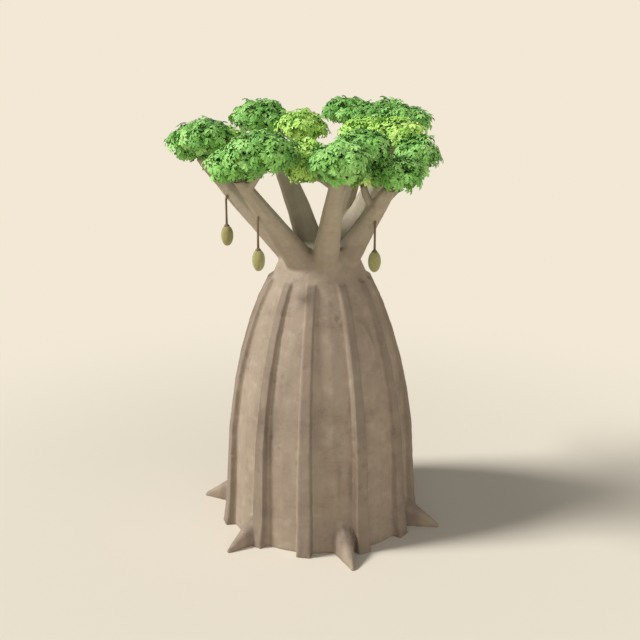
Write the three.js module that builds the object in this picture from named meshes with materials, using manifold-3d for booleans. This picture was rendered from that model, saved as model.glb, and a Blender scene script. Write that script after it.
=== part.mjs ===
// A baobab: a bottle-shaped, ribbed trunk on short surface roots, seven boughs that fan out
// from its shoulder with smaller branches on them, and the flat tufts of foliage they carry.
// Millimetres, +Z up. The origin is the middle of the flat cut at ground level and the front
// looks towards -Y. A bearing is in degrees round the trunk, from the front towards +X.
import * as THREE from 'three';
import { mergeVertices } from 'three/addons/utils/BufferGeometryUtils.js';
import Module from 'manifold-3d';

const wasm = await Module();
wasm.setup();

// ---- driving dimensions -----------------------------------------------------------------
const CLEARANCE = 0.4; // gap left between a limb and what it meets
const TUFT_CLEARANCE_SCALE = 1.001; // a tuft grows by this much where it cuts another piece

const RIB_BEARINGS = [-9, 25, 55, 77, 108, 140, 168, 199, 230, 258, 288, 322];
const RIB_PROUD = { foot: 150, top: 65 };
const RIB_WIDTH = { foot: 235, top: 115 };
const RIB_FLANK = 40; // width of a rib's sloping side
const RIB_TOP = 4880; // ribs run out at this height
const RIB_RUN_OUT = 70; // height over which a rib sinks into the shoulder
const FOOT_FLARE = 35; // how much further a rib stands out at the ground
const FLARE_HEIGHT = 450;

// Trunk between its ribs: [height, radius], from the ground to the middle of the fork.
const SHOULDER_RADIUS = 880;
const TRUNK_OUTLINE = [
  [0, 1790], [500, 1754], [1200, 1719], [2000, 1681], [2700, 1591], [3300, 1472],
  [3900, 1303], [4400, 1120], [RIB_TOP - RIB_RUN_OUT, 920], [RIB_TOP, SHOULDER_RADIUS],
  [5080, 792], [5250, 715], [5370, 600], [5440, 400], [5470, 0],
];

const ROOT_BEARINGS = [-103, -44, 14, 71, 138, 197];
const ROOT_START = { reach: 1560, height: 400, radius: 235 };
const ROOT_TIP = { reach: 2430, height: 30, radius: 35 };
const ROOT_SIDES = 8;

const LIMB_SIDES = 9;
const LIMB_STEP = 520; // length of a limb between its rings
const BOUGH_RADIUS = { base: 300, tip: 85 };
const BRANCH_RADIUS = { base: 75, tip: 50 };
const BRANCH_TURN = 0.6; // share of the way at which a branch turns up
const BRANCH_RISE = 0.45; // how much of an even rise it has made by then

const TUFT_UNEVEN = 0.1; // how far a tuft's surface strays from an ellipsoid
const TUFT_DETAIL = 1; // how finely its surface is divided
const TUFT_SEED = 18;
const TUFT_SEED_STEP = 7;

const COLOURS = { bark: 0x96846e, green: 0x699646, lime: 0x8fbf5a };
const BARK_ROUGHNESS = 0.9;
const LEAF_ROUGHNESS = 0.85;

/** A tuft's place and size, and the share of its bough's length at which its branch leaves. */
function tuft(bearing, reach, height, halfWidth, halfHeight, tone, share) {
  return { bearing, reach, height, halfWidth, halfHeight, tone, share };
}

// Each bough: its bearing at the fork, its start and the knee where it turns outward as
// [reach, height], and its tufts. The bough runs into its first tuft, and a branch that leaves
// the bough part of the way along runs into each of the others.
const BOUGHS = {
  left: {
    bearing: -90, start: [290, 5030], knee: [1900, 6690],
    tufts: {
      back: tuft(-98, 2400, 7210, 450, 310, 'green'),
      outer: tuft(-84, 2030, 7370, 530, 330, 'green', 0.72),
      inner: tuft(-106, 1790, 7240, 480, 240, 'lime', 0.7),
    },
  },
  front_left: {
    bearing: -38, start: [360, 5000], knee: [1150, 5750],
    tufts: {
      outer: tuft(-48, 2020, 6980, 430, 280, 'green'),
      side: tuft(-29, 1890, 7220, 590, 380, 'green', 0.8),
      inner: tuft(-60, 1220, 7060, 330, 230, 'lime', 0.84),
    },
  },
  front: {
    bearing: 10, start: [380, 4950], knee: [950, 5850],
    tufts: {
      outer: tuft(10, 1880, 7090, 570, 360, 'green'),
      side: tuft(35, 1290, 7330, 530, 250, 'green', 0.7),
      inner: tuft(-16, 940, 7020, 430, 390, 'lime', 0.79),
    },
  },
  front_right: {
    bearing: 60, start: [380, 4950], knee: [900, 5800],
    tufts: {
      low: tuft(49, 1750, 6810, 460, 300, 'green'),
      outer: tuft(77, 1740, 7070, 445, 340, 'green', 0.62),
      inner: tuft(39, 1100, 6830, 310, 250, 'lime', 0.62),
    },
  },
  right: {
    bearing: 112, start: [330, 5000], knee: [800, 5950],
    tufts: {
      outer: tuft(118, 1810, 7570, 540, 260, 'green'),
      inner: tuft(100, 1440, 7450, 470, 250, 'lime', 0.62),
    },
  },
  back: {
    bearing: 150, start: [300, 5050], knee: [700, 6050],
    tufts: {
      outer: tuft(140, 1620, 7540, 510, 260, 'green'),
      side: tuft(166, 2010, 7720, 490, 265, 'green', 0.55),
      far: tuft(143, 2210, 7700, 510, 255, 'green', 0.62),
      inner: tuft(122, 900, 7390, 450, 270, 'lime', 0.6),
    },
  },
  back_left: {
    bearing: 207, start: [260, 5050], knee: [680, 6050],
    tufts: {
      outer: tuft(217, 2010, 7630, 600, 320, 'green'),
      back: tuft(205, 2420, 7610, 380, 260, 'green', 0.56),
      inner: tuft(198, 1030, 7480, 510, 315, 'lime', 0.62),
    },
  },
};

// ---- helpers ----------------------------------------------------------------------------
/** The point at a bearing round the trunk, a reach from its axis and a height. */
function pointAt(bearing, reach, height) {
  const angle = THREE.MathUtils.degToRad(bearing);
  return new THREE.Vector3(reach * Math.sin(angle), -reach * Math.cos(angle), height);
}

/** Numbers from 0 to 1 that are the same on every run. */
function seeded(seed) {
  let state = seed >>> 0;
  return () => {
    state = (Math.imul(state, 1664525) + 1013904223) >>> 0;
    return state / 2 ** 32;
  };
}

/** A geometry's closed surface with its shared corners merged and its slivers dropped. */
function closedSurface(geometry) {
  geometry.deleteAttribute('normal');
  geometry.deleteAttribute('uv');
  const merged = mergeVertices(geometry, 0.01);
  const corners = Array.from(merged.index.array);
  const kept = [];
  for (let i = 0; i < corners.length; i += 3) {
    const [a, b, c] = corners.slice(i, i + 3);
    if (a !== b && b !== c && c !== a) kept.push(a, b, c);
  }
  merged.setIndex(kept);
  return merged;
}

/** A solid that can be joined to others and cut by them, from a closed geometry. */
function solidOf(geometry) {
  const surface = closedSurface(geometry);
  return new wasm.Manifold(new wasm.Mesh({
    numProp: 3,
    vertProperties: Float32Array.from(surface.attributes.position.array),
    triVerts: Uint32Array.from(surface.index.array),
  }));
}

/** What is left of a solid after the cutters, without the slivers that a cut can leave. */
function cutBy(solid, cutters) {
  const left = cutters.reduce((rest, cutter) => rest.subtract(cutter), solid);
  const pieces = left.decompose();
  return pieces.reduce((largest, piece) => (piece.volume() > largest.volume() ? piece : largest));
}

/** The named mesh of a solid. */
function meshOf(name, solid, colour, roughness) {
  const shape = solid.getMesh();
  const geometry = new THREE.BufferGeometry();
  geometry.setAttribute('position', new THREE.BufferAttribute(shape.vertProperties, 3));
  geometry.setIndex(Array.from(shape.triVerts));
  geometry.computeVertexNormals();
  const material = new THREE.MeshStandardMaterial({ color: colour, roughness, metalness: 0 });
  const mesh = new THREE.Mesh(geometry, material);
  mesh.name = name;
  return mesh;
}

// ---- trunk ------------------------------------------------------------------------------

/** How far a rib stands out of the trunk at a height. */
function ribProud(height) {
  const fade = THREE.MathUtils.clamp((RIB_TOP - height) / RIB_RUN_OUT, 0, 1);
  const flare = FOOT_FLARE * Math.max(0, 1 - height / FLARE_HEIGHT) ** 2;
  const share = Math.min(1, height / RIB_TOP);
  return THREE.MathUtils.lerp(RIB_PROUD.foot, RIB_PROUD.top, share) * fade + flare;
}

/** The corners of one ring of the trunk at a rib: [bearing, whether it is on the rib]. */
function ribCorners(rib, radius, height) {
  const bearing = RIB_BEARINGS[rib];
  const next = RIB_BEARINGS[rib + 1] ?? RIB_BEARINGS[0] + 360;
  const share = Math.min(1, height / RIB_TOP);
  const half = THREE.MathUtils.lerp(RIB_WIDTH.foot, RIB_WIDTH.top, share) / 2;
  const girth = Math.max(radius, SHOULDER_RADIUS);
  const top = THREE.MathUtils.radToDeg(half / girth);
  const foot = THREE.MathUtils.radToDeg((half + RIB_FLANK) / girth);
  return [
    [bearing - foot, false], [bearing - top, true], [bearing + top, true],
    [bearing + foot, false], [(bearing + next) / 2, false],
  ];
}

/** The ribbed body of the trunk, larger all round by a clearance. */
function trunkBody(clearance) {
  const outline = TRUNK_OUTLINE.map(([height, radius]) => new THREE.Vector2(radius, height));
  const profile = [new THREE.Vector2(0, 0), ...outline];
  const cornersPerRib = ribCorners(0, SHOULDER_RADIUS, 0).length;
  const sides = RIB_BEARINGS.length * cornersPerRib;
  const geometry = new THREE.LatheGeometry(profile, sides);
  const position = geometry.attributes.position;
  for (let i = 0; i < position.count; i += 1) {
    const { x: radius, y: height } = profile[i % profile.length];
    const side = Math.floor(i / profile.length) % sides;
    const corners = ribCorners(Math.floor(side / cornersPerRib), radius, height);
    const [bearing, onRib] = corners[side % cornersPerRib];
    const proud = onRib ? ribProud(height) : 0;
    const reach = radius === 0 ? 0 : radius + proud + clearance;
    const lift = height > RIB_TOP ? clearance : 0;
    const point = pointAt(bearing, reach, height + lift);
    position.setXYZ(i, point.x, point.y, point.z);
  }
  return solidOf(geometry);
}

// ---- limbs ------------------------------------------------------------------------------

/** A tapering limb along a curve, larger all round by a clearance. */
function limb(curve, startRadius, endRadius, sides, clearance = 0) {
  const rings = Math.max(2, Math.round(curve.getLength() / LIMB_STEP));
  const geometry = new THREE.CylinderGeometry(1, 1, 1, sides, rings);
  const frames = curve.computeFrenetFrames(rings);
  const position = geometry.attributes.position;
  for (let i = 0; i < position.count; i += 1) {
    const along = position.getY(i) + 0.5;
    const ring = Math.round(along * rings);
    const radius = THREE.MathUtils.lerp(startRadius, endRadius, along) + clearance;
    const point = curve.getPointAt(along)
      .addScaledVector(frames.binormals[ring], position.getX(i) * radius)
      .addScaledVector(frames.normals[ring], position.getZ(i) * radius);
    position.setXYZ(i, point.x, point.y, point.z);
  }
  return solidOf(geometry);
}

/** A surface root: a tapering spur, solid down to the ground and below it. */
function root(bearing) {
  const start = pointAt(bearing, ROOT_START.reach, ROOT_START.height);
  const tip = pointAt(bearing, ROOT_TIP.reach, ROOT_TIP.height);
  const line = new THREE.LineCurve3(start, tip);
  const spur = limb(line, ROOT_START.radius, ROOT_TIP.radius, ROOT_SIDES);
  return spur.add(spur.translate([0, 0, -ROOT_START.height])).hull();
}

/** The trunk with its surface roots, cut flat at ground level. */
function trunk() {
  const width = 3 * ROOT_TIP.reach;
  const depth = 1000;
  const below = new THREE.BoxGeometry(width, width, depth);
  below.translate(0, 0, -depth / 2);
  const roots = ROOT_BEARINGS.map((bearing) => root(bearing));
  const whole = roots.reduce((joined, next) => joined.add(next), trunkBody(0));
  return whole.subtract(solidOf(below));
}

/** The curve of a bough, from inside the fork out and up to the middle of its first tuft. */
function boughCurve({ bearing, start, knee, tufts }) {
  const [first] = Object.values(tufts);
  return new THREE.QuadraticBezierCurve3(
    pointAt(bearing, ...start),
    pointAt(bearing, ...knee),
    pointAt(first.bearing, first.reach, first.height),
  );
}

/** The curve of a branch that leaves a bough part of the way along and swings up into a tuft. */
function branchCurve(bough, { bearing, reach, height, share }) {
  const start = boughCurve(bough).getPointAt(share);
  const end = pointAt(bearing, reach, height);
  const turn = start.clone().lerp(end, BRANCH_TURN);
  turn.z = THREE.MathUtils.lerp(start.z, end.z, BRANCH_TURN * BRANCH_RISE);
  return new THREE.QuadraticBezierCurve3(start, turn, end);
}

// ---- foliage ----------------------------------------------------------------------------

/** An uneven, flattened tuft of foliage, grown about its middle by a scale. */
function tuftSolid(seed, { bearing, reach, height, halfWidth, halfHeight }, scale = 1) {
  const geometry = closedSurface(new THREE.IcosahedronGeometry(1, TUFT_DETAIL));
  const random = seeded(seed);
  geometry.rotateZ(random() * Math.PI);
  const position = geometry.attributes.position;
  const corner = new THREE.Vector3();
  for (let i = 0; i < position.count; i += 1) {
    corner.fromBufferAttribute(position, i);
    corner.multiplyScalar(1 + TUFT_UNEVEN * (2 * random() - 1));
    position.setXYZ(i, corner.x, corner.y, corner.z);
  }
  geometry.computeBoundingBox();
  const size = geometry.boundingBox.getSize(new THREE.Vector3());
  const wide = 2 * halfWidth * scale;
  const tall = 2 * halfHeight * scale;
  const middle = pointAt(bearing, reach, height);
  geometry.center();
  geometry.scale(wide / size.x, wide / size.y, tall / size.z);
  geometry.translate(middle.x, middle.y, middle.z);
  return solidOf(geometry);
}

// ---- assembly ---------------------------------------------------------------------------
const tree = new THREE.Group();
const limbCutters = [trunkBody(CLEARANCE)];
const tuftCutters = [];

/** Adds a tuft, less what the tufts before it take. */
function addTuft(name, seed, shape) {
  const left = cutBy(tuftSolid(seed, shape), tuftCutters);
  tree.add(meshOf(name, left, COLOURS[shape.tone], LEAF_ROUGHNESS));
  tuftCutters.push(tuftSolid(seed, shape, TUFT_CLEARANCE_SCALE));
}

/** Adds a limb that starts at the trunk or the limbs before it and ends at the foliage. */
function addLimb(name, curve, { base, tip }) {
  const left = cutBy(limb(curve, base, tip, LIMB_SIDES), [...limbCutters, ...tuftCutters]);
  tree.add(meshOf(name, left, COLOURS.bark, BARK_ROUGHNESS));
  limbCutters.push(limb(curve, base, tip, LIMB_SIDES, CLEARANCE));
}

tree.add(meshOf('trunk', trunk(), COLOURS.bark, BARK_ROUGHNESS));
let tuftSeed = TUFT_SEED;
for (const [side, bough] of Object.entries(BOUGHS)) {
  for (const [place, shape] of Object.entries(bough.tufts)) {
    addTuft(`foliage_${side}_${place}`, tuftSeed, shape);
    tuftSeed += TUFT_SEED_STEP;
  }
}
for (const [side, bough] of Object.entries(BOUGHS)) {
  addLimb(`bough_${side}`, boughCurve(bough), BOUGH_RADIUS);
}
for (const [side, bough] of Object.entries(BOUGHS)) {
  const [, ...others] = Object.entries(bough.tufts);
  for (const [place, shape] of others) {
    addLimb(`branch_${side}_${place}`, branchCurve(bough, shape), BRANCH_RADIUS);
  }
}

export default tree;
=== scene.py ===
"""The looks of a baobab tree: folded bark, forking twigs, hand-shaped leaves and velvety pods."""

import math
import random

import bmesh
import bpy
import numpy as np
from mathutils import Matrix, Vector, noise
from mathutils.bvhtree import BVHTree


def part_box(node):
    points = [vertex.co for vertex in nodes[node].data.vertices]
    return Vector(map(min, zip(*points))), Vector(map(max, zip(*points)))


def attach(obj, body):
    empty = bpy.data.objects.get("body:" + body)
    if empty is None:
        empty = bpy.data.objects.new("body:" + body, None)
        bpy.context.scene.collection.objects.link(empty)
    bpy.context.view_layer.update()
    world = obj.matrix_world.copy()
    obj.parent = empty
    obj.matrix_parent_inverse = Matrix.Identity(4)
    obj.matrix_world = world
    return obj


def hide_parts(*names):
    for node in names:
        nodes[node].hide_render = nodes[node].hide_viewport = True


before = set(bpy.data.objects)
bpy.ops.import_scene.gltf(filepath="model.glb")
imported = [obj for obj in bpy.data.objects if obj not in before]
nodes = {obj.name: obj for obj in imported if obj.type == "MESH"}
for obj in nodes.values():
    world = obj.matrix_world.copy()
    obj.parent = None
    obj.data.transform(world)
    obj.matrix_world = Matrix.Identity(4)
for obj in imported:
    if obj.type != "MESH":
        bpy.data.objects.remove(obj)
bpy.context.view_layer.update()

MM = 0.001
UP = Vector((0, 0, 1))

BARK_NODES = sorted(n for n in nodes if not n.startswith("foliage"))
LIME_NODES = sorted(n for n in nodes if n.startswith("foliage") and n.endswith("inner"))
GREEN_NODES = sorted(n for n in nodes if n.startswith("foliage") and not n.endswith("inner"))

# ---- small helpers ----------------------------------------------------------------------


def linear(hex_colour):
    """An sRGB hex colour as the linear colour that a socket takes."""
    channels = [int(hex_colour[i : i + 2], 16) / 255 for i in (1, 3, 5)]
    return [c / 12.92 if c <= 0.04045 else ((c + 0.055) / 1.055) ** 2.4 for c in channels] + [1]


def add_node(tree, kind, settings=None, values=None, links=None):
    """A node with its settings, its socket values and the sockets linked into it."""
    made = tree.nodes.new(kind)
    for name, value in (settings or {}).items():
        setattr(made, name, value)
    for socket, value in (values or {}).items():
        made.inputs[socket].default_value = value
    for socket, source in (links or {}).items():
        tree.links.new(source, made.inputs[socket])
    return made


def new_material(name):
    """A material with an empty node tree, and that tree."""
    material = bpy.data.materials.new(name)
    material.use_nodes = True
    material.node_tree.nodes.clear()
    return material, material.node_tree


def finished(material, shader):
    """The material with its shader linked to the output."""
    add_node(material.node_tree, "ShaderNodeOutputMaterial", links={"Surface": shader.outputs[0]})
    return material


def mesh_piece(name, points, faces, material):
    """A mesh object from arrays of points and faces, riding on the tree."""
    mesh = bpy.data.meshes.new(name)
    mesh.from_pydata(np.asarray(points).tolist(), [], [list(map(int, f)) for f in faces])
    mesh.polygons.foreach_set("use_smooth", [True] * len(mesh.polygons))
    mesh.materials.append(material)
    mesh.update()
    piece = bpy.data.objects.new(name, mesh)
    bpy.context.scene.collection.objects.link(piece)
    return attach(piece, "root")


def smoothstep(low, high, value):
    """0 below low, 1 above high, and an easy slope between."""
    t = np.clip((value - low) / (high - low), 0, 1)
    return t * t * (3 - 2 * t)


# ---- materials --------------------------------------------------------------------------

BARK_LIT = "#978775"
BARK_WEATHERED = "#897969"
# paler bark up the limbs: younger bark, with painted light that lifts the crown's shadow on them
BARK_YOUNG_AND_PAINTED_LIGHT = "#A39883"
# dark bark: painted shade in hollows, wrinkles, pores and on ribs, and the dark mottle patches
BARK_PAINTED_SHADE_AND_DARK_PATCH = "#5D5043"
# paler bark on the raised mottle: patches of tone with painted highlight
BARK_PALE_PATCH_AND_HIGHLIGHT = "#B5AA97"
BARK_PATCH = 620 * MM
BARK_MOTTLE = 210 * MM
BARK_WRINKLE = 260 * MM
BARK_WRINKLE_FLATNESS = 3.2
BARK_PORE = 60 * MM
BARK_GRAIN = 10 * MM
WRINKLE_LINE = (0.485, 0.5)
WRINKLED_PATCH = (0.44, 0.58)
PORE_THINNING = 0.45
PORE_EDGE = (0.1, 0.34)
WEATHERED_PATCH = (0.38, 0.66, 0, 0.8)
# pattern, the two ends of its range, the share of tint at each end, and the tint
BARK_TINTS = (
    # paler from 4.9 m up: younger bark, and painted light against the crown's shadow
    ("level", 4.9, 5.9, 0, 0.85, BARK_YOUNG_AND_PAINTED_LIGHT),
    # mottle paler where its relief stands up and darker in its hollows: tone that varies at random,
    # with painted highlight and painted shade
    ("mottle", 0.52, 0.74, 0, 0.3, BARK_PALE_PATCH_AND_HIGHLIGHT),
    ("mottle", 0.28, 0.45, 0.14, 0, BARK_PAINTED_SHADE_AND_DARK_PATCH),
    # darker along wrinkles and in pores: painted shade in their hollows
    ("wrinkle", 0, 1, 0.3, 0, BARK_PAINTED_SHADE_AND_DARK_PATCH),
    ("pore", 0, 1, 0.3, 0, BARK_PAINTED_SHADE_AND_DARK_PATCH),
)
# pattern, strength and depth of its relief
BARK_BUMPS = (
    ("grain", 0.35, 1.2 * MM),
    ("pore", 0.5, 3 * MM),
    ("wrinkle", 0.5, 4 * MM),
    ("mottle", 0.4, 10 * MM),
)


def share_of(tree, height, low, high, start, end):
    """A noise or distance output turned into a share that runs from start to end."""
    values = {"From Min": low, "From Max": high, "To Min": start, "To Max": end}
    return add_node(tree, "ShaderNodeMapRange", values=values, links={"Value": height}).outputs[0]


def tinted(tree, share, colour, base):
    """The base colour mixed towards another by a share."""
    return add_node(
        tree,
        "ShaderNodeMix",
        settings={"data_type": "RGBA"},
        values={7: linear(colour)},
        links={0: share, 6: base},
    ).outputs[2]


def bark_wrinkles(tree, place, patch):
    """Thin level wrinkles: 0 along a line, 1 beside it, and only where the bark is weathered."""
    flattened = add_node(
        tree,
        "ShaderNodeMapping",
        values={"Scale": (1, 1, BARK_WRINKLE_FLATNESS)},
        links={"Vector": place},
    ).outputs[0]
    swell = add_node(
        tree,
        "ShaderNodeTexNoise",
        values={"Scale": 1 / BARK_WRINKLE, "Detail": 3, "Roughness": 0.5},
        links={"Vector": flattened},
    ).outputs["Fac"]
    folded = add_node(
        tree,
        "ShaderNodeMath",
        settings={"operation": "PINGPONG"},
        values={1: 0.5},
        links={0: swell},
    ).outputs[0]
    line = share_of(tree, folded, *WRINKLE_LINE, 0, 1)
    kept = add_node(
        tree,
        "ShaderNodeMath",
        settings={"operation": "MULTIPLY"},
        links={0: line, 1: share_of(tree, patch, *WRINKLED_PATCH, 0, 1)},
    ).outputs[0]
    return share_of(tree, kept, 0, 1, 1, 0)


def bark_pores(tree, place):
    """Scattered pores, 0 in the middle of one and 1 around it; many cells have none."""
    cells = add_node(
        tree, "ShaderNodeTexVoronoi", values={"Scale": 1 / BARK_PORE}, links={"Vector": place}
    )
    thinned = add_node(
        tree,
        "ShaderNodeMath",
        settings={"operation": "MULTIPLY_ADD"},
        values={1: PORE_THINNING},
        links={0: cells.outputs["Color"], 2: cells.outputs["Distance"]},
    ).outputs[0]
    return share_of(tree, thinned, *PORE_EDGE, 0, 1)


def bark_heights(tree, place):
    """The patterns in living bark: broad patches, mottling, grain, wrinkles and pores."""
    sizes = {
        "patch": (BARK_PATCH, 5, 0.6),
        "mottle": (BARK_MOTTLE, 5, 0.55),
        "grain": (BARK_GRAIN, 3, 0.6),
    }
    heights = {}
    for name, (spacing, detail, roughness) in sizes.items():
        heights[name] = add_node(
            tree,
            "ShaderNodeTexNoise",
            values={"Scale": 1 / spacing, "Detail": detail, "Roughness": roughness},
            links={"Vector": place},
        ).outputs["Fac"]
    heights["wrinkle"] = bark_wrinkles(tree, place, heights["patch"])
    heights["pore"] = bark_pores(tree, place)
    return heights


def bark_material():
    """Living baobab bark: thin, grey brown and dull, wrinkled, pored and darker in its folds by
    painted shade.
    """
    material, tree = new_material("baobab_bark")
    place = add_node(tree, "ShaderNodeTexCoord").outputs["Object"]
    heights = bark_heights(tree, place)
    heights["level"] = add_node(
        tree, "ShaderNodeSeparateXYZ", links={"Vector": place}
    ).outputs["Z"]
    # painted shade stored on the skin's points
    crease = add_node(tree, "ShaderNodeAttribute", settings={"attribute_name": "crease"})
    colour = add_node(
        tree,
        "ShaderNodeMix",
        settings={"data_type": "RGBA"},
        values={6: linear(BARK_LIT), 7: linear(BARK_WEATHERED)},
        links={0: share_of(tree, heights["patch"], *WEATHERED_PATCH)},
    ).outputs[2]
    for pattern, low, high, start, end, tint in BARK_TINTS:
        share = share_of(tree, heights[pattern], low, high, start, end)
        colour = tinted(tree, share, tint, colour)
    # painted shade from the skin's hollows and ribs
    colour = tinted(tree, crease.outputs["Fac"], BARK_PAINTED_SHADE_AND_DARK_PATCH, colour)
    normal = None
    for name, strength, depth in BARK_BUMPS:
        below = {} if normal is None else {"Normal": normal}
        normal = add_node(
            tree,
            "ShaderNodeBump",
            values={"Strength": strength, "Distance": depth},
            links={"Height": heights[name], **below},
        ).outputs[0]
    shader = add_node(
        tree,
        "ShaderNodeBsdfPrincipled",
        values={"Roughness": 0.78, "Specular IOR Level": 0.35},
        links={"Base Color": colour, "Normal": normal},
    )
    return finished(material, shader)


def leaf_material(name, colour):
    """One tint of leathery leaf, with the low gloss of its waxy upper side."""
    material, tree = new_material(name)
    shader = add_node(
        tree,
        "ShaderNodeBsdfPrincipled",
        values={
            "Base Color": linear(colour),
            "Roughness": 0.55,
            "Specular IOR Level": 0.35,
            "Sheen Weight": 0.15,
        },
    )
    return finished(material, shader)


def plain_shoot_material(name, colour, roughness):
    """Smooth young wood or green stalk, one even colour because it is so thin."""
    material, tree = new_material(name)
    shader = add_node(
        tree,
        "ShaderNodeBsdfPrincipled",
        values={"Base Color": linear(colour), "Roughness": roughness, "Specular IOR Level": 0.3},
    )
    return finished(material, shader)


POD_VELVET = "#938E5C"
POD_WORN = "#77713F"
POD_MOTTLE = 45 * MM
POD_NAP = 5 * MM
POD_RUBBED = (0.45, 0.7, 0, 0.5)


def pod_material():
    """Woody pod in a coat of short hairs: olive velvet, mottled where the nap is rubbed."""
    material, tree = new_material("pod_velvet")
    place = add_node(tree, "ShaderNodeTexCoord").outputs["Object"]
    mottle = add_node(
        tree,
        "ShaderNodeTexNoise",
        values={"Scale": 1 / POD_MOTTLE, "Detail": 3, "Roughness": 0.55},
        links={"Vector": place},
    )
    rubbed = share_of(tree, mottle.outputs["Fac"], *POD_RUBBED)
    coat = add_node(
        tree,
        "ShaderNodeMix",
        settings={"data_type": "RGBA"},
        values={6: linear(POD_VELVET), 7: linear(POD_WORN)},
        links={0: rubbed},
    )
    nap = add_node(
        tree,
        "ShaderNodeTexNoise",
        values={"Scale": 1 / POD_NAP, "Detail": 2},
        links={"Vector": place},
    )
    relief = add_node(
        tree,
        "ShaderNodeBump",
        values={"Strength": 0.5, "Distance": 1.5 * MM},
        links={"Height": nap.outputs["Fac"]},
    )
    shader = add_node(
        tree,
        "ShaderNodeBsdfPrincipled",
        values={
            "Roughness": 0.9,
            "Specular IOR Level": 0.2,
            "Sheen Weight": 0.5,
            "Sheen Roughness": 0.5,
        },
        links={"Base Color": coat.outputs[2], "Normal": relief.outputs[0]},
    )
    return finished(material, shader)


# ---- bark -------------------------------------------------------------------------------

# sizes of the folds and marks in the bark; a RUN says how much longer than wide they are
SKIN_CELL = 20 * MM
MOST_SKIN_FACES = 194000
OVERLAP = 3 * MM
RELAX_STEP = 0.5
# heights in metres between which the fork is smoothed: start, full, fading, end
FORK = (4.95, 5.15, 5.7, 6.15)
FORK_ROUNDS = 26
# height in metres over which, and reach from the axis at which, a root leaves the trunk
FOOT = (0.75, 0.35)
ROOT_REACH = (1.86, 2.0)
ROOT_ROUNDS = 14
JUST_OVER_GROUND = 0.02
FOLD_WIDTH = 380 * MM
FOLD_RUN = 6
FOLD_RELIEF = 8 * MM
FURROW_SPACING = 70 * MM
FURROW_RUN = 14
FURROW_DEPTH = 1.2 * MM
CREASE_SPACING = 480 * MM
CREASE_RUN = 9
CREASE_DEPTH = 9 * MM
CREASE_WIDTH = 0.13
RING_SPACING = 70 * MM
RING_RUN = 5
RING_RELIEF = 3.5 * MM
PIT_SPACING = 190 * MM
PIT_DEPTH = 9 * MM
SWAY = 12 * MM
RIB_TOP = 4.85
RIB_STEP = 55 * MM
# share of painted shade laid over the ribs
RIB_SHADE = 0.36
# how far apart, in metres, the stretches of bark with creases, pits and rings lie
CREASED = 0.9
PITTED = 0.6
RINGED = 0.7
# where in the noise each pattern is taken, so that no two are alike
NOISE = {
    "folds": 3.1,
    "furrows": 8.3,
    "creases": 12.9,
    "creased": 21.7,
    "ringed": 27.1,
    "rings": 33.3,
    "sway": 44.4,
    "pitted": 51.3,
}
# how much painted shade each mark lays in its hollows
PAINTED_SHADE = {"creases": 0.28, "furrows": 0.05, "rings": 0.15, "pits": 0.2}
SCARS = 8
SCAR_RADIUS = 75 * MM
SCAR_LEVELS = (0.9, 4.5)
SCAR_RIM = 0.010
SCAR_PIT = 0.014
TRUNK_REACH = 1.85
TRUNK_TAPER = 0.16


def welded(name):
    """A CAD node's points and faces, with its split corners joined again."""
    mesh = nodes[name].data
    points = np.array([v.co for v in mesh.vertices], float)
    kept, place = np.unique(np.round(points, 5), axis=0, return_inverse=True)
    faces = [[int(place.ravel()[i]) for i in p.vertices] for p in mesh.polygons]
    return kept, faces


def joined_limbs():
    """The trunk and limbs in one mesh, each a little swollen so that neighbours run together."""
    mesh = bpy.data.meshes.new("rough_limbs")
    points, faces = [], []
    for name in BARK_NODES:
        own_points, own_faces = welded(name)
        part = bpy.data.meshes.new(name + "_swollen")
        part.from_pydata(own_points.tolist(), [], own_faces)
        part.update()
        normals = np.array([v.vector for v in part.vertex_normals], float)
        grown = own_points + normals * (0 if name == "trunk" else OVERLAP)
        faces += [[i + len(points) for i in f] for f in own_faces]
        points += grown.tolist()
        bpy.data.meshes.remove(part)
    mesh.from_pydata(points, [], faces)
    mesh.update()
    return mesh


def applied(mesh, *modifiers):
    """The mesh with modifiers applied, each given as its kind and its settings."""
    carrier = bpy.data.objects.new("carrier", mesh)
    bpy.context.scene.collection.objects.link(carrier)
    for kind, settings in modifiers:
        modifier = carrier.modifiers.new(kind, kind)
        for name, value in settings.items():
            setattr(modifier, name, value)
    graph = bpy.context.evaluated_depsgraph_get()
    result = bpy.data.meshes.new_from_object(carrier.evaluated_get(graph))
    bpy.data.objects.remove(carrier)
    return result


def relaxed(points, edges, weights, rounds):
    """Points drawn towards the middle of their neighbours, by weight."""
    ends = np.concatenate([edges[:, 0], edges[:, 1]])
    others = np.concatenate([edges[:, 1], edges[:, 0]])
    count = np.maximum(np.bincount(ends, minlength=len(points)), 1)
    for _ in range(rounds):
        middle = np.stack(
            [np.bincount(ends, points[others, i], len(points)) / count for i in range(3)], 1
        )
        points = points + (middle - points) * (weights * RELAX_STEP)[:, None]
    return points


def grain_lines(points):
    """For each point, the direction in which the bark of its trunk or limb runs."""
    corners, faces, owner = [], [], []
    for index, name in enumerate(BARK_NODES):
        own_points, own_faces = welded(name)
        faces += [[i + len(corners) for i in f] for f in own_faces]
        corners += own_points.tolist()
        owner += [index] * len(own_faces)
    tree = BVHTree.FromPolygons(corners, faces)
    lines = []
    for name in BARK_NODES:
        own_points, _ = welded(name)
        if name == "trunk":
            lines.append((0, 0, 1))
        else:
            spread = own_points - own_points.mean(0)
            lines.append(np.linalg.svd(spread, full_matrices=False)[2][0])
    return np.array([lines[owner[tree.find_nearest(p)[2]]] for p in points])


def noise_at(points, offset):
    """Smooth noise from about -1 to 1 at each point."""
    shift = Vector((offset, 1.7 * offset, -0.6 * offset))
    return np.array([noise.noise(Vector(p) + shift) for p in points])


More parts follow.
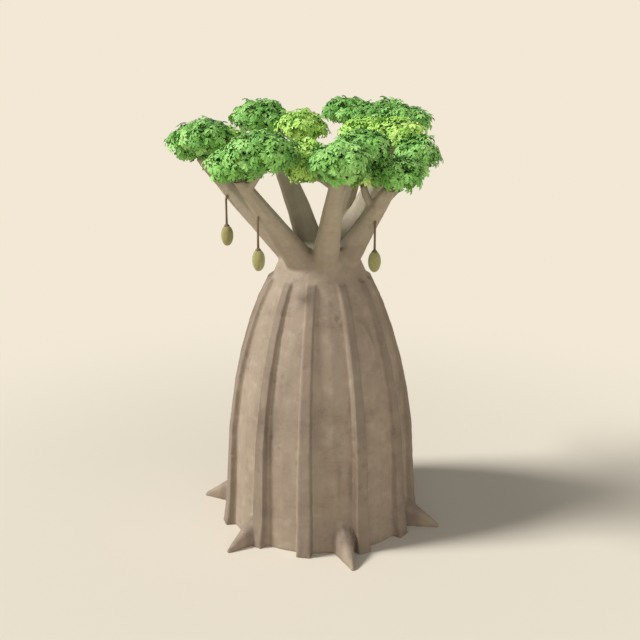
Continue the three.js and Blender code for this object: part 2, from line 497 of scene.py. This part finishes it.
def bark_relief(points, normals, lines):
    """Each bark point moved into the folds and marks of the bark, and the painted shade it gets in
    their hollows.
    """
    along = (points * lines).sum(1, keepdims=True) * lines
    across = points - along
    folds = noise_at(across / FOLD_WIDTH + along / (FOLD_WIDTH * FOLD_RUN), NOISE["folds"])
    run = across / FURROW_SPACING + along / (FURROW_SPACING * FURROW_RUN)
    furrows = np.abs(noise_at(run, NOISE["furrows"]))
    run = across / CREASE_SPACING + along / (CREASE_SPACING * CREASE_RUN)
    creases = 1 - smoothstep(0, CREASE_WIDTH, np.abs(noise_at(run, NOISE["creases"])))
    creases = creases * smoothstep(0.1, 0.5, noise_at(points / CREASED, NOISE["creased"]))
    run = across / (RING_RUN * RING_SPACING) + along / RING_SPACING
    rings = noise_at(run, NOISE["rings"])
    rings = rings * smoothstep(-0.1, 0.4, noise_at(points / RINGED, NOISE["ringed"]))
    pits = np.array([noise.voronoi(Vector(p) / PIT_SPACING)[0][0] for p in points])
    pits = 1 - smoothstep(0.05, 0.4, pits)
    pits = pits * smoothstep(0, 0.4, noise_at(points / PITTED, NOISE["pitted"]))
    height = folds * FOLD_RELIEF - creases * CREASE_DEPTH + rings * RING_RELIEF
    height = height - furrows * FURROW_DEPTH - pits * PIT_DEPTH + scars(points)
    foot = smoothstep(0, 0.25, points[:, 2])
    moved = points + normals * (height * (0.25 + 0.75 * foot))[:, None]
    shade = creases * PAINTED_SHADE["creases"]
    shade = shade + smoothstep(0.1, 0.5, furrows) * PAINTED_SHADE["furrows"]
    shade = shade + np.clip(-rings, 0, 1) * PAINTED_SHADE["rings"]
    shade = shade + pits * PAINTED_SHADE["pits"]
    return moved, np.clip(shade, 0, 1)


def scars(points):
    """Low rings left on the trunk where small limbs were shed."""
    chance = random.Random(5)
    height = np.zeros(len(points))
    for _ in range(SCARS):
        turn = chance.uniform(0, 2 * math.pi)
        level = chance.uniform(*SCAR_LEVELS)
        reach = TRUNK_REACH - TRUNK_TAPER * level
        middle = np.array([reach * math.cos(turn), reach * math.sin(turn), level])
        far = np.linalg.norm((points - middle) * (1, 1, 0.8), axis=1)
        rim = np.exp(-(((far - SCAR_RADIUS) / (0.45 * SCAR_RADIUS)) ** 2))
        pit = np.exp(-((far / (0.6 * SCAR_RADIUS)) ** 2))
        height += SCAR_RIM * rim - SCAR_PIT * pit
    return height


def drawn_back(points, rough):
    """Points drawn back onto the faces of the rough mesh, so that its ribs keep their edges."""
    corners = [v.co for v in rough.vertices]
    tree = BVHTree.FromPolygons(corners, [p.vertices[:] for p in rough.polygons])
    return np.array([tree.find_nearest(p)[0] for p in points], float)


def foot_of_roots(points):
    """How much of each point is where a surface root leaves the trunk."""
    high, low = FOOT
    reach = np.linalg.norm(points[:, :2], axis=1)
    level = 1 - smoothstep(low, high, points[:, 2])
    return level * smoothstep(*ROOT_REACH, reach) * (points[:, 2] > JUST_OVER_GROUND)


def on_rib(points):
    """How much of each point stands out of the trunk on a rib, which gets painted shade."""
    reach = np.linalg.norm(points[:, :2], axis=1)
    level = points[:, 2]
    steps = np.linspace(0.1, RIB_TOP, 40)
    skin = (reach > 0.6) & (level > JUST_OVER_GROUND)
    valley = [np.percentile(reach[skin & (np.abs(level - z) < 0.1)], 35) for z in steps]
    proud = reach - np.interp(level, steps, valley)
    rib = smoothstep(0.3 * RIB_STEP, RIB_STEP, proud) * (1 - smoothstep(0.25, 0.35, proud))
    return rib * (1 - smoothstep(RIB_TOP, RIB_TOP + 0.1, level))


def sway(points):
    """Ribs that waver a little on their way up, as they do where wood has grown round a wound."""
    level = smoothstep(0.1, 1.2, points[:, 2]) * (1 - smoothstep(4.4, 5.2, points[:, 2]))
    drift = noise_at(points * (0.9, 0.9, 0.75), NOISE["sway"]) * level * SWAY
    out = points * (1, 1, 0)
    out = out / np.maximum(np.linalg.norm(out, axis=1, keepdims=True), 0.01)
    sideways = np.stack([-out[:, 1], out[:, 0], 0 * out[:, 0]], 1)
    return points + sideways * drift[:, None]


def without_scraps(mesh):
    """Keeps the skin itself and drops any loose scrap that thinning leaves beside it."""
    shape = bmesh.new()
    shape.from_mesh(mesh)
    islands = []
    seen = set()
    for start in shape.verts:
        if start in seen:
            continue
        seen.add(start)
        island = [start]
        for vertex in island:
            for edge in vertex.link_edges:
                other = edge.other_vert(vertex)
                if other not in seen:
                    seen.add(other)
                    island.append(other)
        islands.append(island)
    islands.sort(key=len)
    loose = [vertex for island in islands[:-1] for vertex in island]
    bmesh.ops.delete(shape, geom=loose, context="VERTS")
    shape.to_mesh(mesh)
    shape.free()


def skin_over(rough, cell):
    """A skin of even cells over the rough limbs, smooth in the fork and where roots leave."""
    skin = applied(rough.copy(), ("REMESH", {"mode": "VOXEL", "voxel_size": cell}))
    points = np.array([v.co for v in skin.vertices], float)
    edges = np.array([e.vertices[:] for e in skin.edges], int)
    points = relaxed(points, edges, np.ones(len(points)), 1)
    points = drawn_back(points, rough)
    low, full, fade, end = FORK
    fork = smoothstep(low, full, points[:, 2]) * (1 - smoothstep(fade, end, points[:, 2]))
    points = relaxed(points, edges, fork, FORK_ROUNDS)
    points = relaxed(points, edges, foot_of_roots(points), ROOT_ROUNDS)
    points = sway(points)
    skin.vertices.foreach_set("co", points.ravel())
    skin.update()
    return skin, points


def add_relief(skin, points):
    """Moves the skin's points into its relief and stores the painted shade of each, in hollows and on
    ribs.
    """
    normals = np.array([v.vector for v in skin.vertex_normals], float)
    points, creases = bark_relief(points, normals, grain_lines(points))
    skin.vertices.foreach_set("co", points.ravel())
    # painted shade: darker in creases, furrows, ring troughs and pits, and on the ribs
    shade = np.clip(creases + RIB_SHADE * on_rib(points), 0, 1)
    skin.attributes.new("crease", "FLOAT", "POINT").data.foreach_set("value", shade)
    skin.update()


def thinned(skin):
    """The skin with fewer faces, in one piece, and flat where it meets the ground."""
    skin.calc_loop_triangles()
    share = min(1, MOST_SKIN_FACES / len(skin.loop_triangles))
    skin = applied(skin, ("DECIMATE", {"ratio": share}))
    without_scraps(skin)
    points = np.array([v.co for v in skin.vertices], float)
    points[:, 2] = np.maximum(points[:, 2], 0)
    skin.vertices.foreach_set("co", points.ravel())
    skin.polygons.foreach_set("use_smooth", [True] * len(skin.polygons))
    return skin


def make_bark():
    """The skin of trunk and limbs as one mesh, which runs smoothly from one into the next."""
    skin, points = skin_over(joined_limbs(), SKIN_CELL)
    add_relief(skin, points)
    skin = thinned(skin)
    skin.materials.clear()
    skin.materials.append(bark_material())
    piece = bpy.data.objects.new("bark", skin)
    bpy.context.scene.collection.objects.link(piece)
    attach(piece, "root")
    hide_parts(*BARK_NODES)


# ---- tubes for twigs and stalks ---------------------------------------------------------


class Tubes:
    """Tapering tubes gathered into one list of points and faces."""

    def __init__(self):
        self.points = []
        self.faces = []

    def add(self, line, radii, sides):
        """A tube along a line of points, with a radius at each, closed at both ends."""
        first = len(self.points)
        heading = (line[1] - line[0]).normalized()
        side = heading.orthogonal().normalized()
        for i, (middle, radius) in enumerate(zip(line, radii)):
            before, after = line[max(i - 1, 0)], line[min(i + 1, len(line) - 1)]
            heading = (after - before).normalized()
            side = (side - heading * side.dot(heading)).normalized()
            other = heading.cross(side)
            for k in range(sides):
                turn = 2 * math.pi * k / sides
                offset = side * math.cos(turn) + other * math.sin(turn)
                self.points.append(middle + offset * radius)
        for i in range(len(line) - 1):
            a = first + i * sides
            for k in range(sides):
                n = (k + 1) % sides
                self.faces.append((a + k, a + n, a + sides + n, a + sides + k))
        self.faces.append(tuple(range(first + sides - 1, first - 1, -1)))
        last = first + (len(line) - 1) * sides
        self.faces.append(tuple(range(last, last + sides)))

    def piece(self, name, material):
        """The gathered tubes as one piece."""
        return mesh_piece(name, [tuple(p) for p in self.points], self.faces, material)


def bend(start, heading, end, count):
    """Points on a curve that leaves start along heading and arrives at end."""
    reach = (end - start).length
    knee = start + heading * reach * 0.45
    share = [i / (count - 1) for i in range(count)]
    return [start * (1 - t) ** 2 + knee * (2 * t * (1 - t)) + end * t**2 for t in share]


# ---- sprays and twigs -------------------------------------------------------------------

SPRAY_SPACING = 150 * MM
SPRAY_INSET = {"side": 125 * MM, "top": 62 * MM, "bottom": 160 * MM}
INNER_SPRAYS = 8
TUFTS_MEET = 130 * MM
MEETING_INSET = 0.35
TWIG_TIP = 7 * MM
TWIG_POWER = 2.4
SPRAY_TRIES = 1500
INSET_RANGE = (0.75, 1.3)
INNER_REACH = 0.45
RIM_GAP = 4 * MM
LIMB_BACK = (0.18, 0.5)
MOST_ROOT_RADIUS = 0.11
THICK_TWIG = 25 * MM


def limb_end(name):
    """Where a limb enters its tuft: the middle of its far end, its heading and its radius."""
    side, _, place = name.replace("foliage_", "").rpartition("_")
    branch = f"branch_{side}_{place}"
    limb = branch if branch in nodes else f"bough_{side}"
    points, _ = welded(limb)
    tuft_points, tuft_faces = welded(name)
    tuft = BVHTree.FromPolygons(tuft_points.tolist(), tuft_faces)
    gaps = np.array([tuft.find_nearest(p)[3] for p in points])
    rim = points[gaps < RIM_GAP]
    middle = Vector(rim.mean(0))
    far = np.linalg.norm(points - rim.mean(0), axis=1)
    back = points[(far > LIMB_BACK[0]) & (far < LIMB_BACK[1])]
    heading = (middle - Vector(back.mean(0))).normalized()
    flat = [(Vector(p) - middle) - heading * heading.dot(Vector(p) - middle) for p in rim]
    radius = sum(v.length for v in flat) / len(flat)
    return middle, heading, min(radius, MOST_ROOT_RADIUS)


def neighbours(name):
    """The skins of all the tufts but one."""
    corners, faces = [], []
    for other in GREEN_NODES + LIME_NODES:
        if other != name:
            own_points, own_faces = welded(other)
            faces += [[i + len(corners) for i in f] for f in own_faces]
            corners += own_points.tolist()
    return BVHTree.FromPolygons(corners, faces)


def spray_sites(name, chance):
    """Places for sprays just under the skin of a tuft, and a few inside it."""
    others = neighbours(name)
    points, faces = welded(name)
    low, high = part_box(name)
    middle, half = (low + high) / 2, (high - low) / 2
    corners = [[Vector(points[i]) for i in f[:3]] for f in faces]
    areas = [((b - a).cross(c - a)).length for a, b, c in corners]
    sites = []
    tips = [Vector(p) for p in points]
    for attempt in range(SPRAY_TRIES):
        if attempt < len(tips):
            spot = tips[attempt] - middle
        else:
            a, b, c = chance.choices(corners, areas)[0]
            u, v = chance.random(), chance.random()
            if u + v > 1:
                u, v = 1 - u, 1 - v
            spot = a + (b - a) * u + (c - a) * v - middle
        depth = chance.uniform(*INSET_RANGE)
        if others.find_nearest(spot + middle)[3] < TUFTS_MEET:
            depth *= MEETING_INSET
        level = SPRAY_INSET["top" if spot.z > 0 else "bottom"]
        insets = (SPRAY_INSET["side"], SPRAY_INSET["side"], level)
        keep = [1 - insets[i] * depth / half[i] for i in range(3)]
        spot = Vector((spot.x * keep[0], spot.y * keep[1], spot.z * max(keep[2], 0.1))) + middle
        if all((spot - s).length > SPRAY_SPACING for s in sites):
            sites.append(spot)
    for _ in range(INNER_SPRAYS):
        spot = [chance.uniform(-INNER_REACH, INNER_REACH) * half[i] for i in range(3)]
        sites.append(middle + Vector(spot))
    return sites, middle, half


def parted(sites, root, chance):
    """Sites parted into two or three groups, each with its own direction from the root."""
    groups = 3 if len(sites) > 9 and chance.random() < 0.6 else 2
    ways = [(s - root).normalized() for s in sites]
    seeds = [chance.choice(ways)]
    while len(seeds) < groups:
        seeds.append(min(ways, key=lambda w: max(w.dot(s) for s in seeds)))
    for _ in range(6):
        where = [max(range(len(seeds)), key=lambda k: w.dot(seeds[k])) for w in ways]
        for k in range(len(seeds)):
            own = [w for w, g in zip(ways, where) if g == k]
            if own:
                seeds[k] = sum(own, Vector()).normalized()
    found = [[s for s, g in zip(sites, where) if g == k] for k in range(len(seeds))]
    return [g for g in found if g]


def grow(tubes, root, heading, sites, radius, whole, chance):
    """Grows wood from root to all its sites: a length towards their middle, then a fork."""
    share = (len(sites) / whole) ** (1 / TWIG_POWER)
    start_radius = max(radius * share, TWIG_TIP)
    if len(sites) == 1:
        line = bend(root, heading, sites[0], 5)
        radii = [start_radius + (TWIG_TIP * 0.7 - start_radius) * i / 4 for i in range(5)]
        tubes.add(line, radii, 5)
        return
    middle = sum(sites, Vector()) / len(sites)
    reach = middle - root
    near = min((s - root).length for s in sites)
    length = min(reach.length * chance.uniform(0.3, 0.5), max(near, 0.06))
    end = root + reach.normalized() * max(length, 0.05)
    end += Vector([chance.uniform(-1, 1) for _ in range(3)]) * 0.12 * length
    line = bend(root, heading, end, 4)
    groups = parted(sites, end, chance)
    if len(groups) == 1:
        groups = [sites[: len(sites) // 2], sites[len(sites) // 2 :]]
    biggest = max(len(g) for g in groups)
    end_radius = max(radius * (biggest / whole) ** (1 / TWIG_POWER), TWIG_TIP)
    radii = [start_radius + (end_radius - start_radius) * i / 3 for i in range(4)]
    tubes.add(line, radii, 9 if start_radius > THICK_TWIG else 6)
    ahead = (line[-1] - line[-2]).normalized()
    for group in groups:
        grow(tubes, line[-1], ahead, group, radius, whole, chance)


# ---- leaves -----------------------------------------------------------------------------

LEAFLET_LENGTH = (105 * MM, 142 * MM)
STALK_LENGTH = (60 * MM, 105 * MM)
STALK_RADIUS = 3 * MM
LEAVES_IN_SPRAY = (6, 8)
# radians from one leaf's stalk to the next, as leaves spiral up a twig
LEAF_TURN = 2.4
LEAFLETS_AND_SPREAD = ((5, 205), (5, 225), (6, 235), (6, 250), (7, 255), (7, 270))
STATIONS = (0.0, 0.3, 0.62, 0.86, 1.0)
HALF_WIDTHS = (0.0, 0.135, 0.225, 0.15, 0.0)
LEAFLET_FACES = (
    (0, 3, 2),
    (0, 2, 1),
    (3, 6, 5),
    (3, 5, 2),
    (2, 5, 4),
    (2, 4, 1),
    (6, 9, 8),
    (6, 8, 5),
    (5, 8, 7),
    (5, 7, 4),
    (9, 10, 8),
    (8, 10, 7),
)


def leaflet():
    """A leaflet of length 1 along +X: pointed, widest past its middle, folded along its midrib."""
    points = [(0, 0, 0)]
    for along, half in list(zip(STATIONS, HALF_WIDTHS))[1:-1]:
        sag = -0.22 * along**2
        points += [(along, half, sag + 0.3 * half), (along, 0, sag), (along, -half, sag + 0.3 * half)]
    points.append((1, 0, -0.25))
    return np.array(points)


def leaf_shape(leaflets, spread, chance):
    """A hand-shaped leaf: leaflets of length 1 round its stalk's end, smaller to the back."""
    points, faces = [], []
    single = leaflet()
    for i in range(leaflets):
        turn = math.radians((i / (leaflets - 1) - 0.5) * spread + chance.uniform(-6, 6))
        size = (1 - 0.38 * abs(turn) / math.radians(spread / 2)) * chance.uniform(0.93, 1.05)
        droop = Matrix.Rotation(math.radians(chance.uniform(2, 20)), 3, "Y")
        swing = Matrix.Rotation(turn, 3, "Z")
        own = (single * size) @ np.array((swing @ droop).transposed())
        faces.append(np.array(LEAFLET_FACES) + len(points) * 11)
        points.append(own)
    return np.concatenate(points), np.concatenate(faces)


def leaf_shapes():
    """The leaf shapes that sprays draw from, with five, six or seven leaflets."""
    chance = random.Random(11)
    return [leaf_shape(count, spread, chance) for count, spread in LEAFLETS_AND_SPREAD]


class Leaves:
    """The leaves of one tint gathered into one mesh."""

    def __init__(self):
        self.points = []
        self.faces = []
        self.count = 0

    def add(self, shape, place, axes, size):
        """A leaf at a place, turned to its axes and scaled to its leaflet length."""
        points, faces = shape
        self.points.append(points * size @ axes + place)
        self.faces.append(faces + self.count)
        self.count += len(points)


def facing(site, middle, half, chance):
    """The way a spray faces: out of its tuft and up to the light."""
    out = Vector([(site[i] - middle[i]) / half[i] ** 2 for i in range(3)])
    out = out.normalized() if out.length > 0.2 else Vector()
    stray = Vector([chance.uniform(-1, 1) for _ in range(3)])
    return (out * 0.75 + UP * 0.6 + stray * 0.25).normalized()


def make_spray(site, axis, leaves, stalks, shapes, chance):
    """Leaves round a twig's tip on their stalks, the middle ones standing, the outer drooping."""
    count = chance.randint(*LEAVES_IN_SPRAY)
    first = chance.uniform(0, 2 * math.pi)
    side = axis.orthogonal().normalized()
    other = axis.cross(side)
    for i in range(count):
        turn = first + i * LEAF_TURN
        ring = i / max(count - 1, 1)
        radial = side * math.cos(turn) + other * math.sin(turn)
        rise = math.radians(68 - 58 * ring + chance.uniform(-10, 10))
        stalk = radial * math.cos(rise) + axis * math.sin(rise)
        length = chance.uniform(*STALK_LENGTH)
        base = site + axis * 0.02 * (1 - ring)
        end = base + stalk * length
        stalks.add([base, end], [STALK_RADIUS * 1.2, STALK_RADIUS * 0.8], 3)
        tip = math.radians(-8 + 34 * ring + chance.uniform(-14, 14))
        forward = radial * math.cos(tip) - axis * math.sin(tip)
        roll = Matrix.Rotation(math.radians(chance.uniform(-22, 22)), 3, forward)
        up = roll @ (radial * math.sin(tip) + axis * math.cos(tip))
        across = up.cross(forward)
        axes = np.array([forward, across, up])
        leaves.add(chance.choice(shapes), np.array(end), axes, chance.uniform(*LEAFLET_LENGTH))


GREEN_TINTS = ("#6BA542", "#77B14F", "#85BE5B", "#92C668", "#619A3D")
LIME_TINTS = ("#A2CF58", "#B0DA66", "#95C54F", "#BEE376")
TWIG_BARK = "#7F6E58"
LEAF_STALK = "#8DA650"
TWIG_START = 0.06


def make_crown():
    """Twigs, stalks and leaves for every tuft, each leaf tint a piece of its own."""
    shapes = leaf_shapes()
    twigs, stalks = Tubes(), Tubes()
    kinds = {"green": (GREEN_NODES, GREEN_TINTS), "lime": (LIME_NODES, LIME_TINTS)}
    for kind, (tufts, tints) in kinds.items():
        batches = [Leaves() for _ in tints]
        for number, name in enumerate(tufts):
            chance = random.Random(f"{kind} {number}")
            sites, middle, half = spray_sites(name, chance)
            root, heading, radius = limb_end(name)
            start = root - heading * TWIG_START
            grow(twigs, start, heading, sites, radius, len(sites), chance)
            for site in sites:
                axis = facing(site, middle, half, chance)
                make_spray(site, axis, chance.choice(batches), stalks, shapes, chance)
        for number, (batch, colour) in enumerate(zip(batches, tints), 1):
            material = leaf_material(f"{kind}_leaf_{number}", colour)
            points, faces = np.concatenate(batch.points), np.concatenate(batch.faces)
            piece = mesh_piece(f"leaves_{kind}_{number}", points, faces, material)
            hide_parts(*tufts)
    twig_piece = twigs.piece("twigs", plain_shoot_material("young_bark", TWIG_BARK, 0.75))
    stalk_piece = stalks.piece("leaf_stalks", plain_shoot_material("leaf_stalk", LEAF_STALK, 0.6))


# ---- pods -------------------------------------------------------------------------------

POD_LENGTH = 385 * MM
POD_WIDTH = 225 * MM
POD_SIDES = 40
POD_RINGS = 34
POD_STALK = 19 * MM
POD_STALK_WOOD = "#6E5C46"
# limb, a point near where the stalk leaves it, and how far the pod hangs below, in metres
PODS = (
    ("bough_left", (-1.72, -0.05, 6.30), 0.715),
    ("bough_front_left", (-1.07, -1.16, 6.10), 0.74),
    ("bough_front_right", (0.966, -0.84, 5.97), 0.70),
)


def pod_radius(share):
    """A pod's half width from stalk end (0) to tip (1), of 1 at its widest."""
    return max(1 - abs(2 * share**0.96 - 1) ** 2.15, 0) ** 0.5


def add_pod(points, faces, middle, chance):
    """A long egg of a pod with faint ridges, a short neck and a small pointed tip."""
    first = len(points)
    ridge_turn = chance.uniform(0, 2 * math.pi)
    for ring in range(POD_RINGS + 1):
        share = ring / POD_RINGS
        radius = max(pod_radius(share) * POD_WIDTH / 2, 4 * MM)
        level = POD_LENGTH * (0.5 - share)
        for k in range(POD_SIDES):
            turn = 2 * math.pi * k / POD_SIDES
            ridge = 1 + 0.025 * math.cos(5 * turn + ridge_turn) * math.sin(math.pi * share)
            spot = Vector((math.cos(turn), math.sin(turn), 0)) * radius * ridge + UP * level
            lump = 1 + 0.03 * noise.noise((spot + middle) * 9)
            points.append(middle + Vector((spot.x * lump, spot.y * lump, spot.z)))
    for ring in range(POD_RINGS):
        a = first + ring * POD_SIDES
        for k in range(POD_SIDES):
            n = (k + 1) % POD_SIDES
            faces.append((a + k, a + POD_SIDES + k, a + POD_SIDES + n, a + n))
    faces.append(tuple(range(first, first + POD_SIDES)))
    last = first + POD_RINGS * POD_SIDES
    faces.append(tuple(range(last + POD_SIDES - 1, last - 1, -1)))


def make_pods():
    """Three pods, each on a long stalk that leaves the underside of a bough and hangs straight."""
    chance = random.Random(23)
    points, faces, stalks = [], [], Tubes()
    for limb, near, drop in PODS:
        corners, sides = welded(limb)
        surface = BVHTree.FromPolygons(corners.tolist(), sides)
        spot, normal, _, _ = surface.find_nearest(Vector(near))
        out = Vector((near[0], near[1], spot.z))
        top = spot - normal * 0.03
        hang = out - UP * 0.07
        end = out - UP * (drop - POD_LENGTH / 2 + 0.012)
        line = [top, spot.lerp(out, 0.4), hang, hang.lerp(end, 0.5), end]
        radii = [POD_STALK * s for s in (1.9, 1.35, 1.05, 1, 1.15)]
        stalks.add(line, radii, 12)
        cap_top = end + UP * 0.03
        cap = [cap_top, end + UP * 0.012, end - UP * 0.006, end - UP * 0.02]
        stalks.add(cap, [POD_STALK * s for s in (1.05, 1.7, 2.6, 2.9)], 14)
        add_pod(points, faces, end - UP * (POD_LENGTH / 2 + 0.002), chance)
    mesh_piece("pods", [tuple(p) for p in points], faces, pod_material())
    stalk_material = plain_shoot_material("pod_stalk_wood", POD_STALK_WOOD, 0.8)
    stalks.piece("pod_stalks", stalk_material)


# ---- stage, light and camera ------------------------------------------------------------

AIR = "#F2E8D5"
HIGH_AIR = "#E6EAEE"
FLOOR = "#D6CDBD"
CAMERA_LENS = 50
CAMERA_PITCH = 15.9
CAMERA_DISTANCE = 16.95
CAMERA_AIM = 3.95
FLOOR_REACH = 90
FLOOR_CORNERS = 96
FLOOR_FADE = (3.8, 15)
# name, degrees above the floor, bearing of its travel, strength, and breadth in degrees
LAMPS = (("key", 40, 8, 4.2, 15), ("fill", 4, 114, 1.5, 110))
AIR_LIGHT = (0.15, 0.5, 1.0, 0.15)
AIR_TINT = (0.18, 0.45, 0, 1)


def floor_material():
    """Matt painted studio floor that runs out into the colour of the air round it."""
    material, tree = new_material("studio_floor")
    place = add_node(tree, "ShaderNodeTexCoord").outputs["Object"]
    far = add_node(
        tree, "ShaderNodeVectorMath", settings={"operation": "LENGTH"}, links={0: place}
    )
    fade = add_node(
        tree,
        "ShaderNodeMapRange",
        settings={"interpolation_type": "SMOOTHSTEP"},
        values={"From Min": FLOOR_FADE[0], "From Max": FLOOR_FADE[1]},
        links={"Value": far.outputs["Value"]},
    )
    paint = add_node(
        tree,
        "ShaderNodeBsdfPrincipled",
        values={"Base Color": linear(FLOOR), "Roughness": 0.9, "Specular IOR Level": 0.1},
    )
    glow = add_node(tree, "ShaderNodeEmission", values={"Color": linear(AIR), "Strength": 1})
    blend = add_node(
        tree,
        "ShaderNodeMixShader",
        links={0: fade.outputs[0], 1: paint.outputs[0], 2: glow.outputs[0]},
    )
    return finished(material, blend)


def make_stage():
    """A wide pale floor under the tree, at ground level."""
    ring = [2 * math.pi * i / FLOOR_CORNERS for i in range(FLOOR_CORNERS)]
    points = [(FLOOR_REACH * math.cos(t), FLOOR_REACH * math.sin(t), 0) for t in ring]
    mesh = bpy.data.meshes.new("studio_floor")
    mesh.from_pydata(points, [], [tuple(range(FLOOR_CORNERS))])
    mesh.materials.append(floor_material())
    floor = bpy.data.objects.new("studio_floor", mesh)
    bpy.context.scene.collection.objects.link(floor)


def make_lamps():
    """A broad soft key from the left and a very broad low fill."""
    for name, elevation, bearing, energy, breadth in LAMPS:
        lamp = bpy.data.lights.new(name, "SUN")
        lamp.energy = energy
        lamp.angle = math.radians(breadth)
        made = bpy.data.objects.new(name, lamp)
        bpy.context.scene.collection.objects.link(made)
        low, side = math.radians(elevation), math.radians(bearing)
        level = math.cos(low)
        travel = Vector((level * math.cos(side), level * math.sin(side), -math.sin(low)))
        made.rotation_euler = travel.to_track_quat("-Z", "Y").to_euler()


def make_air():
    """Studio air that is brightest low down, as round a lit backdrop."""
    world = bpy.data.worlds.new("studio_air")
    bpy.context.scene.world = world
    world.use_nodes = True
    tree = world.node_tree
    tree.nodes.clear()
    way = add_node(tree, "ShaderNodeTexCoord").outputs["Generated"]
    rise = add_node(tree, "ShaderNodeSeparateXYZ", links={"Vector": way})
    strength = share_of(tree, rise.outputs["Z"], *AIR_LIGHT)
    upward = share_of(tree, rise.outputs["Z"], *AIR_TINT)
    colour = add_node(
        tree,
        "ShaderNodeMix",
        settings={"data_type": "RGBA"},
        values={6: linear(AIR), 7: linear(HIGH_AIR)},
        links={0: upward},
    )
    air = add_node(
        tree,
        "ShaderNodeBackground",
        links={"Color": colour.outputs[2], "Strength": strength},
    )
    add_node(tree, "ShaderNodeOutputWorld", links={"Surface": air.outputs[0]})


def make_camera():
    """A camera in front of the tree and above it, looking a little down."""
    lens = bpy.data.cameras.new("camera")
    lens.lens = CAMERA_LENS
    lens.sensor_width = 36
    lens.clip_end = 300
    camera = bpy.data.objects.new("camera", lens)
    bpy.context.scene.collection.objects.link(camera)
    pitch = math.radians(CAMERA_PITCH)
    back = Vector((0, -math.cos(pitch), math.sin(pitch))) * CAMERA_DISTANCE
    camera.location = Vector((0, 0, CAMERA_AIM)) + back
    camera.rotation_euler = (math.pi / 2 - pitch, 0, 0)
    bpy.context.scene.camera = camera


bpy.context.scene.view_settings.view_transform = "Standard"
make_camera()
make_lamps()
make_air()
make_stage()
make_bark()
make_crown()
make_pods()
